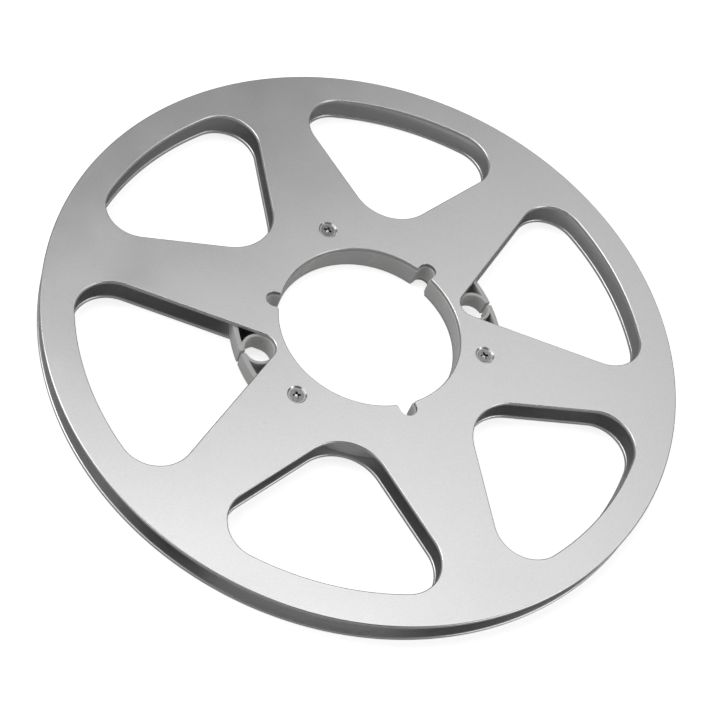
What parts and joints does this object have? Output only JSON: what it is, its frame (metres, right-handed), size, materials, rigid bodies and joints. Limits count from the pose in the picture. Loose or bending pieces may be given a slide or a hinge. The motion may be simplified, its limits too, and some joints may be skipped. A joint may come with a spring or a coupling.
{
  "type": "tape reel",
  "caption": "Flat metal reel for recording tape: thin round flanges with rounded triangular windows, screwed to a narrow moulded hub with a large keyed bore and slotted eyelets.",
  "frame": {"origin": "centre of the bore, level with the lower flange's outer face, which the reel rests on", "axes": "+Z along the bore axis to the upper flange; +X through one of the anchor eyelets; one keyway of the bore points along -Y"},
  "size_m": [0.2666, 0.2666, 0.0118],
  "materials": {
    "flange_metal": "satin",
    "hub_plastic": "matte",
    "screw_steel": "satin"
  },
  "bodies": {
    "root": {"upper_flange": "flange_metal", "lower_flange": "flange_metal", "hub": "hub_plastic", "upper_screw_1": "screw_steel", "upper_screw_2": "screw_steel", "upper_screw_3": "screw_steel", "lower_screw_1": "screw_steel", "lower_screw_2": "screw_steel", "lower_screw_3": "screw_steel"}
  },
  "joints": []
}
